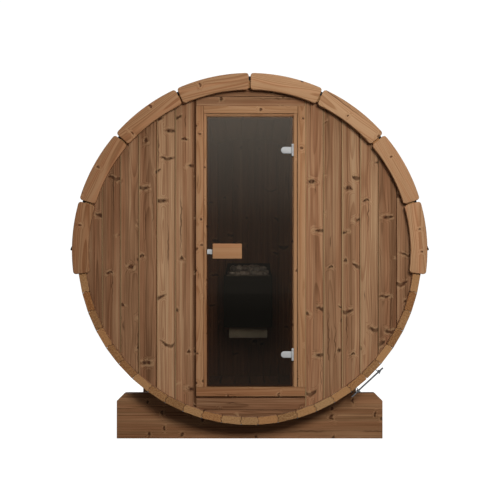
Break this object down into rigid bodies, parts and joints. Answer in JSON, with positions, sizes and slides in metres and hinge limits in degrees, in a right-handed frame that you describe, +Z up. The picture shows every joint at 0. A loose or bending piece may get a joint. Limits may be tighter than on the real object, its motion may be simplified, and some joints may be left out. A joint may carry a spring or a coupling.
{
  "type": "barrel sauna",
  "caption": "Round timber barrel sauna on two cradles, with a hinged tinted glass door in the front end wall and an electric stone heater on the back wall.",
  "frame": {"origin": "centre of the bounding box's underside: on the ground, under the middle of the barrel", "axes": "+Z up, front with the door faces -Y, barrel runs along Y, +X to the right seen from the front"},
  "size_m": [2.026, 2.406, 2.093],
  "materials": {
    "stave_wood": "planed heat-treated spruce staves, end grain showing",
    "trim_wood": "planed heat-treated spruce with soft edges",
    "wall_wood": "planed heat-treated knotty boards",
    "frame_wood": "planed heat-treated pine",
    "handle_wood": "oiled, soft edges",
    "cradle_wood": "heat-treated knotty plank",
    "deck_wood": "planed slats",
    "hinge_metal": "satin",
    "tinted_glass": "smoke tinted, clear polish",
    "roof_membrane": "matt black roof sheet",
    "band_steel": "bright steel",
    "heater_case": "satin dark grey",
    "heater_stone": "rough broken stone",
    "heater_control": "satin grey"
  },
  "bodies": {
    "cabin": {"staves_bottom": "stave_wood", "staves_top": "stave_wood", "staves_right_1": "stave_wood", "staves_right_2": "stave_wood", "staves_right_3": "stave_wood", "staves_right_4": "stave_wood", "staves_right_5": "stave_wood", "staves_right_6": "stave_wood", "staves_left_1": "stave_wood", "staves_left_2": "stave_wood", "staves_left_3": "stave_wood", "staves_left_4": "stave_wood", "staves_left_5": "stave_wood", "staves_left_6": "stave_wood", "front_trim_1": "trim_wood", "front_trim_2": "trim_wood", "front_trim_3": "trim_wood", "front_trim_4": "trim_wood", "front_trim_5": "trim_wood", "front_trim_6": "trim_wood", "front_trim_7": "trim_wood", "front_trim_8": "trim_wood", "back_trims": "trim_wood", "front_wall_left": "wall_wood", "front_wall_right": "wall_wood", "front_wall_header": "wall_wood", "front_wall_sill": "wall_wood", "back_wall": "wall_wood", "door_jamb_left": "frame_wood", "door_jamb_right": "frame_wood", "door_head": "frame_wood", "door_sill": "frame_wood", "hinge_plates": "hinge_metal", "roof_cover": "roof_membrane", "band_front": "band_steel", "band_rear": "band_steel", "tensioner_front": "band_steel", "tensioner_rear": "band_steel", "cradle_front": "cradle_wood", "cradle_rear": "cradle_wood", "cradle_rails": "cradle_wood", "floor_deck": "deck_wood", "heater_case": "heater_case", "heater_stones": "heater_stone", "heater_control": "heater_control"},
    "door": {"hinge_leaves": "hinge_metal", "door_glass": "tinted_glass", "door_handle": "handle_wood", "door_latch": "hinge_metal"}
  },
  "joints": [
    {"name": "door_hinge", "type": "hinge", "parent": "cabin", "child": "door", "pos_m": [0.2445, -1.136, 1.085], "axis": [0, 0, 1], "range_deg": [0, 110]}
  ]
}
